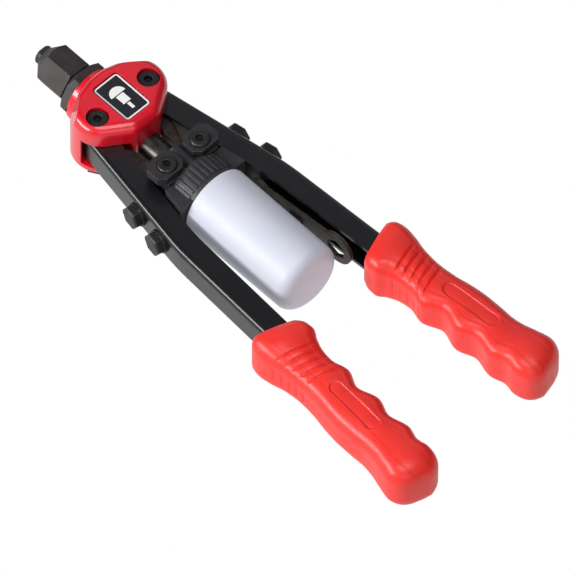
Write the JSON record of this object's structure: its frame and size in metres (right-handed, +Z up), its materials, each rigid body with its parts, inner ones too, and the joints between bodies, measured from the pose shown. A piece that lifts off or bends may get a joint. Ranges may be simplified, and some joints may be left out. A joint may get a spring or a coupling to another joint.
{
  "type": "hand riveter",
  "caption": "Two-handed lever riveter: long hinged arms with moulded grips pull a jaw carriage through a hexagonal nose, and a bottle collects spent mandrels.",
  "frame": {"origin": "centre of the nosepiece's mouth, on the tool axis", "axes": "+Y along the tool axis out of the nose, +X to the right arm, +Z up, square to the plane the arms swing in"},
  "size_m": [0.1308, 0.359, 0.0465],
  "materials": {
    "head_enamel": "glossy red enamel over a die casting",
    "badge_black": "smooth black label plate",
    "black_steel": "black-oxide socket screws and nuts",
    "nose_steel": "black-oxide turned steel with a brown cast",
    "bright_steel": "turned steel",
    "tube_steel": "ground, dark blued steel tube",
    "tool_steel": "hardened tool steel, dark brown",
    "spring_steel": "blued spring steel",
    "forged_steel": "oiled forged steel",
    "yoke_black": "satin black paint on a casting",
    "arm_paint": "glossy black paint on pressed steel",
    "collar_plastic": "black moulded nylon, fine texture",
    "bottle_plastic": "milky polyethylene, waxy",
    "grip_red": "soft red moulded grip, satin"
  },
  "bodies": {
    "head": {"head_body": "head_enamel", "badge_plate": "badge_black", "pivot_bolts": "black_steel", "pivot_nuts": "black_steel", "nose_lock_nut": "nose_steel", "nose_housing": "nose_steel", "nosepiece": "nose_steel"},
    "left_arm": {"left_arm_channel": "arm_paint", "left_inner_lever": "forged_steel", "left_arm_bolts": "nose_steel", "left_arm_washers": "spring_steel", "left_grip": "grip_red"},
    "right_arm": {"right_arm_channel": "arm_paint", "right_inner_lever": "forged_steel", "right_arm_bolts": "nose_steel", "right_arm_washers": "spring_steel", "right_grip": "grip_red", "wrench_clip": "spring_steel"},
    "carriage": {"pull_tube": "tube_steel", "jaw_case": "bright_steel", "pusher_spring": "spring_steel", "yoke": "yoke_black", "yoke_bolts": "black_steel", "tube_nut": "bright_steel", "bottle_collar": "collar_plastic", "collar_screws": "bright_steel"},
    "jaw_set": {"jaws": "tool_steel", "jaw_pusher": "bright_steel"},
    "left_link": {"left_link_plates": "forged_steel", "left_link_pin": "bright_steel"},
    "right_link": {"right_link_plates": "forged_steel", "right_link_pin": "bright_steel"},
    "bottle": {"collection_bottle": "bottle_plastic"},
    "wrench": {"wrench": "tool_steel"}
  },
  "joints": [
    {"name": "left_arm_hinge", "type": "hinge", "parent": "head", "child": "left_arm", "pos_m": [-0.0195, -0.065, 0], "axis": [0, 0, -1], "range_deg": [0, 36.7]},
    {"name": "right_arm_hinge", "type": "hinge", "parent": "head", "child": "right_arm", "pos_m": [0.0195, -0.065, 0], "axis": [0, 0, 1], "range_deg": [0, 36.7]},
    {"name": "carriage_slide", "type": "slide", "parent": "head", "child": "carriage", "axis": [0, 1, 0], "range_m": [0, 0.0173]},
    {"name": "left_link_hinge", "type": "hinge", "parent": "carriage", "child": "left_link", "pos_m": [-0.0126, -0.1133, 0], "axis": [0, 0, 1], "range_deg": [0, 36.7]},
    {"name": "right_link_hinge", "type": "hinge", "parent": "carriage", "child": "right_link", "pos_m": [0.0126, -0.1133, 0], "axis": [0, 0, -1], "range_deg": [0, 36.7]},
    {"name": "jaw_slide", "type": "slide", "parent": "carriage", "child": "jaw_set", "axis": [0, -1, 0], "range_m": [0, 0.002], "deforming": ["pusher_spring"]},
    {"name": "bottle_removal", "type": "slide", "parent": "carriage", "child": "bottle", "axis": [0, -1, 0], "range_m": [0, 0.04]},
    {"name": "wrench_removal", "type": "slide", "parent": "right_arm", "child": "wrench", "axis": [0, 0, 1], "range_m": [0, 0.03]}
  ],
  "couplings": [
    {"joint": "right_arm_hinge", "follows": "left_arm_hinge", "ratio": 1},
    {"joint": "carriage_slide", "follows": "left_arm_hinge", "m_per_rad": 0.027009},
    {"joint": "left_link_hinge", "follows": "left_arm_hinge", "ratio": 1},
    {"joint": "right_link_hinge", "follows": "left_arm_hinge", "ratio": 1}
  ]
}
